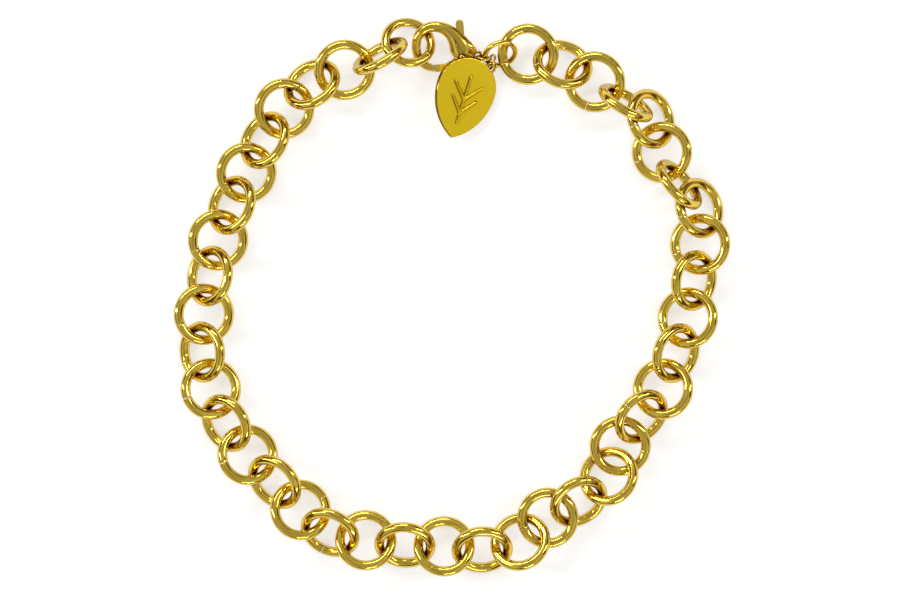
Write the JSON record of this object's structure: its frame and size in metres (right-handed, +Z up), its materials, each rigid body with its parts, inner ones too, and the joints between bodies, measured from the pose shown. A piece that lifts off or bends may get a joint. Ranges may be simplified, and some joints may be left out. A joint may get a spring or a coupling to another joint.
{
  "type": "chain necklace",
  "caption": "Chunky round-link chain necklace laid in a loop, closed by a lobster clasp that hooks the end ring, with a leaf tag.",
  "frame": {"origin": "on the table, under the middle of the whole necklace's box", "axes": "+Z up from the table, +Y towards the clasp, +X to the right seen from above with the clasp at the top"},
  "size_m": [0.1388, 0.1398, 0.0145],
  "materials": {
    "chain_gold": "mirror-polished yellow gold plating",
    "clasp_gold": "polished yellow gold plating",
    "tag_gold": "polished yellow gold plating, raised veins",
    "spring_metal": "plain spring brass"
  },
  "bodies": {
    "chain_ring_21": {"chain_ring_21": "chain_gold"},
    "chain_ring_20": {"chain_ring_20": "chain_gold"},
    "chain_ring_19": {"chain_ring_19": "chain_gold"},
    "chain_ring_18": {"chain_ring_18": "chain_gold"},
    "chain_ring_17": {"chain_ring_17": "chain_gold"},
    "chain_ring_16": {"chain_ring_16": "chain_gold"},
    "chain_ring_15": {"chain_ring_15": "chain_gold"},
    "chain_ring_14": {"chain_ring_14": "chain_gold"},
    "chain_ring_13": {"chain_ring_13": "chain_gold"},
    "chain_ring_12": {"chain_ring_12": "chain_gold"},
    "chain_ring_11": {"chain_ring_11": "chain_gold"},
    "chain_ring_10": {"chain_ring_10": "chain_gold"},
    "chain_ring_09": {"chain_ring_09": "chain_gold"},
    "chain_ring_08": {"chain_ring_08": "chain_gold"},
    "chain_ring_07": {"chain_ring_07": "chain_gold"},
    "chain_ring_06": {"chain_ring_06": "chain_gold"},
    "chain_ring_05": {"chain_ring_05": "chain_gold"},
    "chain_ring_04": {"chain_ring_04": "chain_gold"},
    "chain_ring_03": {"chain_ring_03": "chain_gold"},
    "chain_ring_02": {"chain_ring_02": "chain_gold"},
    "end_ring": {"end_ring": "chain_gold"},
    "chain_ring_22": {"chain_ring_22": "chain_gold"},
    "chain_ring_23": {"chain_ring_23": "chain_gold"},
    "chain_ring_24": {"chain_ring_24": "chain_gold"},
    "chain_ring_25": {"chain_ring_25": "chain_gold"},
    "chain_ring_26": {"chain_ring_26": "chain_gold"},
    "chain_ring_27": {"chain_ring_27": "chain_gold"},
    "chain_ring_28": {"chain_ring_28": "chain_gold"},
    "chain_ring_29": {"chain_ring_29": "chain_gold"},
    "chain_ring_30": {"chain_ring_30": "chain_gold"},
    "chain_ring_31": {"chain_ring_31": "chain_gold"},
    "chain_ring_32": {"chain_ring_32": "chain_gold"},
    "chain_ring_33": {"chain_ring_33": "chain_gold"},
    "chain_ring_34": {"chain_ring_34": "chain_gold"},
    "chain_ring_35": {"chain_ring_35": "chain_gold"},
    "chain_ring_36": {"chain_ring_36": "chain_gold"},
    "chain_ring_37": {"chain_ring_37": "chain_gold"},
    "chain_ring_38": {"chain_ring_38": "chain_gold"},
    "chain_ring_39": {"chain_ring_39": "chain_gold"},
    "chain_ring_40": {"chain_ring_40": "chain_gold"},
    "chain_ring_41": {"chain_ring_41": "chain_gold"},
    "jump_ring": {"jump_ring": "clasp_gold"},
    "clasp_ring": {"clasp_ring": "clasp_gold"},
    "clasp": {"clasp_body": "clasp_gold", "clasp_rivet": "clasp_gold", "clasp_spring": "spring_metal"},
    "lever": {"clasp_lever": "clasp_gold"},
    "tag_ring": {"tag_ring": "clasp_gold"},
    "tag": {"tag": "tag_gold"}
  },
  "joints": [
    {"name": "lever_press", "type": "hinge", "parent": "clasp", "child": "lever", "pos_m": [0.00249, 0.06018, 0.00208], "axis": [0, 0.2588, -0.9659], "range_deg": [0, 20], "stiffness_Nm_per_rad": 0.02, "springref_deg": -14.32, "deforming": ["clasp_spring"]},
    {"name": "tag_swing", "type": "hinge", "parent": "tag_ring", "child": "tag", "pos_m": [0.00983, 0.05723, 0.00287], "axis": [-0.4848, -0.3452, -0.8037], "range_deg": [-45, 0]},
    {"name": "tag_ring_swing", "type": "hinge", "parent": "jump_ring", "child": "tag_ring", "pos_m": [0.00947, 0.05854, 0.00181], "axis": [0.6999, -0.3744, -0.6082], "range_deg": [-12, 12]},
    {"name": "clasp_swing", "type": "hinge", "parent": "clasp_ring", "child": "clasp", "pos_m": [0.00698, 0.06017, 0.00206], "axis": [0.9491, -0.3038, -0.0829], "range_deg": [0, 30]},
    {"name": "clasp_ring_swing", "type": "hinge", "parent": "jump_ring", "child": "clasp_ring", "pos_m": [0.00978, 0.05949, 0.00289], "axis": [-0.0916, -0.3228, 0.942], "range_deg": [-5, 0]},
    {"name": "jump_ring_swing", "type": "hinge", "parent": "chain_ring_41", "child": "jump_ring", "pos_m": [0.01424, 0.061, 0.00317], "axis": [-0.9939, 0.1098, -0.0095], "range_deg": [-40, 0]},
    {"name": "end_ring_turn", "type": "hinge", "parent": "chain_ring_02", "child": "end_ring", "pos_m": [-0.01092, 0.06348, 0.00374], "axis": [0.2003, 0.4033, 0.8929], "range_deg": [-60, 60]},
    {"name": "chain_ring_02_swing", "type": "hinge", "parent": "chain_ring_03", "child": "chain_ring_02", "pos_m": [-0.02228, 0.05827, 0.00522], "axis": [-0.9295, -0.3381, 0.147], "range_deg": [0, 16]},
    {"name": "chain_ring_03_swing", "type": "hinge", "parent": "chain_ring_04", "child": "chain_ring_03", "pos_m": [-0.03504, 0.05287, 0.00553], "axis": [-0.3763, 0.5465, 0.7482], "range_deg": [-48, 48]},
    {"name": "chain_ring_41_swing", "type": "hinge", "parent": "chain_ring_40", "child": "chain_ring_41", "pos_m": [0.02345, 0.0595, 0.00466], "axis": [-0.9907, 0.1247, -0.0536], "range_deg": [-30, 0]},
    {"name": "chain_ring_40_turn", "type": "hinge", "parent": "chain_ring_39", "child": "chain_ring_40", "pos_m": [0.02768, 0.05787, 0.0052], "axis": [-0.199, -0.5798, -0.7901], "range_deg": [-45, 45]},
    {"name": "chain_ring_20_turn", "type": "hinge", "parent": "chain_ring_21", "child": "chain_ring_20", "pos_m": [-0.01175, -0.06221, 0.00552], "axis": [0.0492, 0.6605, -0.7493], "range_deg": [-30, 0]},
    {"name": "chain_ring_19_turn", "type": "hinge", "parent": "chain_ring_20", "child": "chain_ring_19", "pos_m": [-0.02154, -0.06106, 0.00489], "axis": [0.0599, 0.326, 0.9435], "range_deg": [0, 30]},
    {"name": "chain_ring_18_turn", "type": "hinge", "parent": "chain_ring_19", "child": "chain_ring_18", "pos_m": [-0.03049, -0.05907, 0.00546], "axis": [0.2898, 0.585, -0.7575], "range_deg": [-30, 0]},
    {"name": "chain_ring_17_turn", "type": "hinge", "parent": "chain_ring_18", "child": "chain_ring_17", "pos_m": [-0.03787, -0.05345, 0.00468], "axis": [-0.1941, -0.2698, -0.9432], "range_deg": [-30, 0]},
    {"name": "chain_ring_16_turn", "type": "hinge", "parent": "chain_ring_17", "child": "chain_ring_16", "pos_m": [-0.04431, -0.04644, 0.00559], "axis": [0.4924, 0.458, -0.7402], "range_deg": [-30, 30]},
    {"name": "chain_ring_15_turn", "type": "hinge", "parent": "chain_ring_16", "child": "chain_ring_15", "pos_m": [-0.05109, -0.03968, 0.00454], "axis": [0.2645, 0.1937, 0.9447], "range_deg": [0, 30]},
    {"name": "chain_ring_14_turn", "type": "hinge", "parent": "chain_ring_15", "child": "chain_ring_14", "pos_m": [-0.0564, -0.03179, 0.00551], "axis": [0.5689, 0.3344, -0.7513], "range_deg": [-30, 30]},
    {"name": "chain_ring_13_turn", "type": "hinge", "parent": "chain_ring_14", "child": "chain_ring_13", "pos_m": [-0.06031, -0.02321, 0.00477], "axis": [-0.3155, -0.0958, -0.9441], "range_deg": [-30, 0]},
    {"name": "chain_ring_12_turn", "type": "hinge", "parent": "chain_ring_13", "child": "chain_ring_12", "pos_m": [-0.0624, -0.01399, 0.00549], "axis": [0.6546, 0.0606, -0.7536], "range_deg": [-30, 30]},
    {"name": "chain_ring_11_turn", "type": "hinge", "parent": "chain_ring_12", "child": "chain_ring_11", "pos_m": [-0.06205, -0.00456, 0.0047], "axis": [-0.329, 0.0237, -0.944], "range_deg": [-30, 0]},
    {"name": "chain_ring_10_turn", "type": "hinge", "parent": "chain_ring_11", "child": "chain_ring_10", "pos_m": [-0.06047, 0.00499, 0.00554], "axis": [0.6521, -0.1269, -0.7474], "range_deg": [-30, 30]},
    {"name": "chain_ring_09_turn", "type": "hinge", "parent": "chain_ring_10", "child": "chain_ring_09", "pos_m": [-0.05852, 0.01401, 0.00426], "axis": [0.3146, -0.0999, 0.944], "range_deg": [0, 36]},
    {"name": "chain_ring_08_turn", "type": "hinge", "parent": "chain_ring_09", "child": "chain_ring_08", "pos_m": [-0.055, 0.02267, 0.00555], "axis": [-0.6186, 0.248, 0.7456], "range_deg": [-36, 36]},
    {"name": "chain_ring_07_turn", "type": "hinge", "parent": "chain_ring_08", "child": "chain_ring_07", "pos_m": [-0.05148, 0.03084, 0.00407], "axis": [0.2868, -0.1673, 0.9433], "range_deg": [-45, 45]},
    {"name": "chain_ring_06_turn", "type": "hinge", "parent": "chain_ring_07", "child": "chain_ring_06", "pos_m": [-0.04677, 0.0389, 0.00553], "axis": [0.5776, -0.3257, -0.7485], "range_deg": [-45, 45]},
    {"name": "chain_ring_05_turn", "type": "hinge", "parent": "chain_ring_06", "child": "chain_ring_05", "pos_m": [-0.04195, 0.04683, 0.00454], "axis": [-0.2401, 0.2253, -0.9442], "range_deg": [-45, 45]},
    {"name": "chain_ring_04_swing", "type": "hinge", "parent": "chain_ring_05", "child": "chain_ring_04", "pos_m": [-0.03729, 0.05128, 0.00442], "axis": [-0.6477, 0.6873, 0.3287], "range_deg": [-60, 0]},
    {"name": "chain_ring_22_turn", "type": "hinge", "parent": "chain_ring_21", "child": "chain_ring_22", "pos_m": [0.00754, -0.06338, 0.00541], "axis": [0.036, -0.6434, 0.7647], "range_deg": [-30, 0]},
    {"name": "chain_ring_23_turn", "type": "hinge", "parent": "chain_ring_22", "child": "chain_ring_23", "pos_m": [0.01704, -0.06137, 0.00541], "axis": [-0.2551, 0.4505, 0.8555], "range_deg": [-30, 0]},
    {"name": "chain_ring_24_turn", "type": "hinge", "parent": "chain_ring_23", "child": "chain_ring_24", "pos_m": [0.02393, -0.05548, 0.00527], "axis": [-0.0015, 0.1123, -0.9937], "range_deg": [0, 30]},
    {"name": "chain_ring_25_turn", "type": "hinge", "parent": "chain_ring_24", "child": "chain_ring_25", "pos_m": [0.03165, -0.0513, 0.00535], "axis": [0.3343, -0.5407, 0.772], "range_deg": [-30, 0]},
    {"name": "chain_ring_26_turn", "type": "hinge", "parent": "chain_ring_25", "child": "chain_ring_26", "pos_m": [0.03919, -0.04505, 0.00486], "axis": [0.3761, -0.3521, -0.8571], "range_deg": [-36, 36]},
    {"name": "chain_ring_27_turn", "type": "hinge", "parent": "chain_ring_26", "child": "chain_ring_27", "pos_m": [0.04209, -0.03749, 0.0045], "axis": [-0.0259, 0.1286, -0.9914], "range_deg": [0, 30]},
    {"name": "chain_ring_28_turn", "type": "hinge", "parent": "chain_ring_27", "child": "chain_ring_28", "pos_m": [0.04728, -0.03016, 0.0056], "axis": [-0.4839, 0.4691, -0.7388], "range_deg": [0, 30]},
    {"name": "chain_ring_29_turn", "type": "hinge", "parent": "chain_ring_28", "child": "chain_ring_29", "pos_m": [0.05277, -0.02321, 0.00445], "axis": [-0.293, 0.1453, 0.945], "range_deg": [-48, 48]},
    {"name": "chain_ring_30_turn", "type": "hinge", "parent": "chain_ring_29", "child": "chain_ring_30", "pos_m": [0.05595, -0.01428, 0.00552], "axis": [-0.6225, 0.2233, -0.7501], "range_deg": [-45, 45]},
    {"name": "chain_ring_31_turn", "type": "hinge", "parent": "chain_ring_30", "child": "chain_ring_31", "pos_m": [0.059, -0.00549, 0.00429], "axis": [-0.3194, 0.077, 0.9445], "range_deg": [-30, 30]},
    {"name": "chain_ring_32_turn", "type": "hinge", "parent": "chain_ring_31", "child": "chain_ring_32", "pos_m": [0.06046, 0.00386, 0.00557], "axis": [-0.6566, 0.1285, -0.7432], "range_deg": [-30, 30]},
    {"name": "chain_ring_33_turn", "type": "hinge", "parent": "chain_ring_32", "child": "chain_ring_33", "pos_m": [0.06207, 0.01297, 0.00451], "axis": [-0.3391, -0.0166, 0.9406], "range_deg": [-30, 30]},
    {"name": "chain_ring_34_turn", "type": "hinge", "parent": "chain_ring_33", "child": "chain_ring_34", "pos_m": [0.06178, 0.02195, 0.00527], "axis": [0.6006, 0.165, 0.7824], "range_deg": [-30, 30]},
    {"name": "chain_ring_35_turn", "type": "hinge", "parent": "chain_ring_34", "child": "chain_ring_35", "pos_m": [0.05657, 0.0278, 0.0071], "axis": [0.6798, 0.6006, 0.4209], "range_deg": [-30, 30]},
    {"name": "chain_ring_36_turn", "type": "hinge", "parent": "chain_ring_35", "child": "chain_ring_36", "pos_m": [0.05255, 0.03599, 0.00387], "axis": [0.3083, 0.083, -0.9477], "range_deg": [-30, 30]},
    {"name": "chain_ring_37_turn", "type": "hinge", "parent": "chain_ring_36", "child": "chain_ring_37", "pos_m": [0.04965, 0.04422, 0.00539], "axis": [-0.6196, -0.17, -0.7663], "range_deg": [-36, 36]},
    {"name": "chain_ring_38_turn", "type": "hinge", "parent": "chain_ring_37", "child": "chain_ring_38", "pos_m": [0.04327, 0.04811, 0.00724], "axis": [-0.4714, -0.7998, -0.3718], "range_deg": [-30, 30]},
    {"name": "chain_ring_39_turn", "type": "hinge", "parent": "chain_ring_38", "child": "chain_ring_39", "pos_m": [0.03569, 0.05355, 0.00466], "axis": [-0.1724, -0.2394, 0.9555], "range_deg": [-36, 36]}
  ]
}
